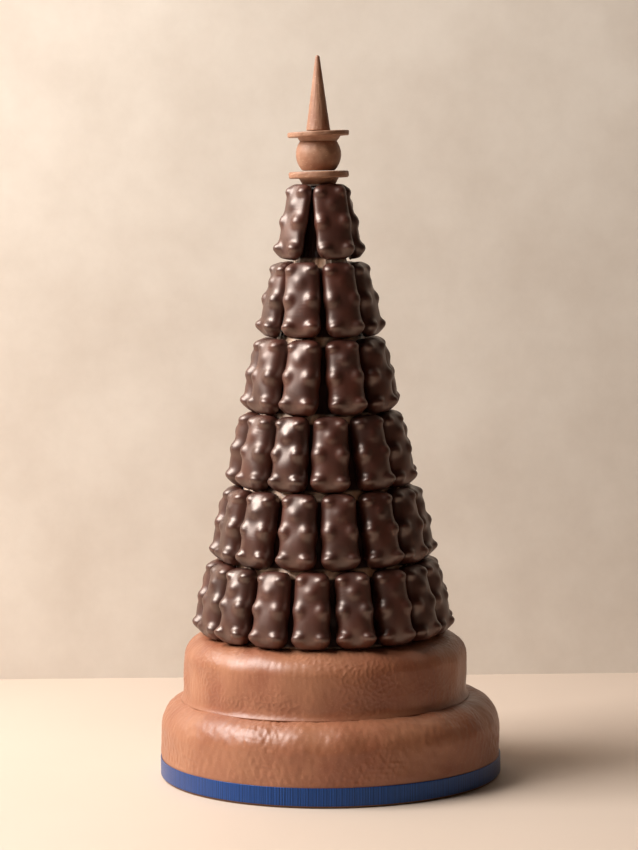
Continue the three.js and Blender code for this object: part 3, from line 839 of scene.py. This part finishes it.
def make_cast_milk():
    """Milk chocolate cast in a mould: nearly matt, a little paler than the poured coat, with cloudy
    patches, pale specks and short scuffs."""
    material, tree, shader, place = new_material("cast_milk_chocolate", roughness=0.55, ior=1.46)
    cloud = add_node(tree, "ShaderNodeTexNoise", {
        "Vector": place, "Scale": per_mm(9), "Detail": 4.0, "Roughness": 0.6}).outputs["Fac"]
    share = add_node(tree, "ShaderNodeMapRange", {
        "Value": cloud, "From Min": 0.35, "From Max": 0.68, "To Min": 0.0, "To Max": 1.0}).outputs[0]
    ground = add_node(tree, "ShaderNodeMix", {
        0: share, 6: linear("#95674e"), 7: linear("#a47a60")}, data_type="RGBA").outputs[2]
    stroke = add_node(tree, "ShaderNodeMapping", {
        "Vector": place, "Rotation": (0.0, 0.6, 0.0), "Scale": (1.0, 1.0, 4.5)}).outputs[0]
    scuff = add_node(tree, "ShaderNodeTexNoise", {
        "Vector": stroke, "Scale": per_mm(3.2), "Detail": 3.0, "Roughness": 0.6}).outputs["Fac"]
    pale = add_node(tree, "ShaderNodeMapRange", {
        "Value": scuff, "From Min": 0.62, "From Max": 0.72, "To Min": 0.0, "To Max": 0.55}).outputs[0]
    colour = add_node(tree, "ShaderNodeMix", {
        0: pale, 6: ground, 7: linear("#e0b493")}, data_type="RGBA").outputs[2]
    tree.links.new(colour, shader.inputs["Base Color"])
    grain = add_node(tree, "ShaderNodeTexNoise", {
        "Vector": place, "Scale": per_mm(1.3), "Detail": 5.0, "Roughness": 0.65}).outputs["Fac"]
    bump = add_node(tree, "ShaderNodeBump", {"Height": grain, "Distance": 0.2 * MM, "Strength": 0.4})
    tree.links.new(bump.outputs["Normal"], shader.inputs["Normal"])
    return material


cast_milk = make_cast_milk()
for part, body in {
    "collar": collar_body(COLLAR, 41),
    "lower_disc": disc_body(LOWER_DISC, 42),
    "ball": ball_body(),
    "socket": collar_body(SOCKET, 44),
    "upper_disc": disc_body(UPPER_DISC, 45),
    "spike": spike_body(),
}.items():
    show(skin(f"cast_{part}", body), cast_milk, "milk_chocolate_matt", f"finial_{part}")

# ---- table and backdrop -------------------------------------------------------------------------
# The tower stands on a plain cream table with a plain pale wall close behind it. The wall is seen
# from the front only, so that it doesn't hide the tower from behind.
TABLE_SIZE = 8000.0
WALL_BEHIND = 383.0
WALL_WIDTH, WALL_HEIGHT = 3200.0, 1500.0


def make_sheet(name, corners, material):
    """A flat four-cornered sheet that is scenery, not part of the object."""
    mesh = bpy.data.meshes.new(name)
    mesh.from_pydata([tuple(value * MM for value in corner) for corner in corners], [], [(0, 1, 2, 3)])
    sheet = bpy.data.objects.new(name, mesh)
    bpy.context.scene.collection.objects.link(sheet)
    mesh.materials.append(material)


def make_table_paint():
    """Smooth eggshell paint in cream, with the faintest cloudiness."""
    material, tree, shader, place = new_material("cream_table_paint", roughness=0.6, ior=1.4)
    cloud = add_node(tree, "ShaderNodeTexNoise", {
        "Vector": place, "Scale": per_mm(300), "Detail": 3.0}).outputs["Fac"]
    colour = add_node(tree, "ShaderNodeMix", {
        0: cloud, 6: linear("#cbb6a5"), 7: linear("#d4c1b0")}, data_type="RGBA").outputs[2]
    tree.links.new(colour, shader.inputs["Base Color"])
    return material


def make_plaster():
    """Brushed lime plaster in pale beige, cloudy at a hand's width; from behind it isn't there."""
    material, tree, shader, place = new_material("pale_plaster", roughness=0.9, ior=1.4)
    cloud = add_node(tree, "ShaderNodeTexNoise", {
        "Vector": place, "Scale": per_mm(90), "Detail": 6.0, "Roughness": 0.62}).outputs["Fac"]
    share = add_node(tree, "ShaderNodeMapRange", {
        "Value": cloud, "From Min": 0.3, "From Max": 0.7, "To Min": 0.0, "To Max": 1.0}).outputs[0]
    colour = add_node(tree, "ShaderNodeMix", {
        0: share, 6: linear("#d3c6b8"), 7: linear("#e1d6c9")}, data_type="RGBA").outputs[2]
    tree.links.new(colour, shader.inputs["Base Color"])
    behind = add_node(tree, "ShaderNodeNewGeometry", {}).outputs["Backfacing"]
    clear = add_node(tree, "ShaderNodeBsdfTransparent", {}).outputs[0]
    both = add_node(tree, "ShaderNodeMixShader", {0: behind, 1: shader.outputs[0], 2: clear}).outputs[0]
    tree.links.new(both, tree.nodes["Material Output"].inputs["Surface"])
    return material


half = TABLE_SIZE / 2
table_corners = [(-half, -half, 0), (half, -half, 0), (half, half, 0), (-half, half, 0)]
make_sheet("table_top", table_corners, make_table_paint())
side = WALL_WIDTH / 2
wall_corners = [
    (-side, WALL_BEHIND, -1), (side, WALL_BEHIND, -1),
    (side, WALL_BEHIND, WALL_HEIGHT), (-side, WALL_BEHIND, WALL_HEIGHT)]
make_sheet("back_wall", wall_corners, make_plaster())

# ---- light --------------------------------------------------------------------------------------
# One large soft light high on the left gives the broad highlights and the dark right side. A weak
# one on the right keeps that side readable, and a dim warm room fills the rest.
AIM = (0, 0, 230)


def soft_light(name, azimuth, elevation, distance, width, height, watts, code):
    """A rectangular light aimed at the tower, placed by its degrees round it and above it."""
    lamp = bpy.data.lights.new(name, "AREA")
    lamp.shape = "RECTANGLE"
    lamp.size, lamp.size_y = width * MM, height * MM
    lamp.energy = watts
    lamp.color = linear(code)[:3]
    turn, rise = math.radians(azimuth), math.radians(elevation)
    way = Vector((math.sin(turn) * math.cos(rise), -math.cos(turn) * math.cos(rise), math.sin(rise)))
    light = bpy.data.objects.new(name, lamp)
    light.location = (Vector(AIM) + way * distance) * MM
    light.rotation_mode = "QUATERNION"
    light.rotation_quaternion = way.to_track_quat("Z", "Y")
    bpy.context.scene.collection.objects.link(light)


soft_light("key_softbox", -77, 42, 1600, 1150, 1000, 58, "#fffdfa")
soft_light("right_fill", 75, 12, 2200, 1200, 1600, 0.5, "#ffdcbc")
world = bpy.data.worlds.new("warm_room")
world.use_nodes = True
world.node_tree.nodes["Background"].inputs["Color"].default_value = linear("#ffe2c8")
world.node_tree.nodes["Background"].inputs["Strength"].default_value = 0.012
bpy.context.scene.world = world

# ---- camera -------------------------------------------------------------------------------------
# It stands 1.9 m in front of the tower, a little left of its middle and 408 mm above the table,
# looks down by 4.8 degrees, and is rolled by half a degree.
camera = bpy.data.objects.new("camera", bpy.data.cameras.new("camera"))
camera.data.sensor_width = 36
camera.data.lens = 114.57
camera.data.clip_end = 50
bpy.context.scene.collection.objects.link(camera)
pitch = Matrix.Rotation(math.radians(90 - 4.82), 4, "X")
roll = Matrix.Rotation(math.radians(-0.59), 4, "Z")
camera.matrix_world = Matrix.Translation((-5.8 * MM, -1900 * MM, 407.6 * MM)) @ pitch @ roll
bpy.context.scene.camera = camera
bpy.context.scene.view_settings.view_transform = "Standard"
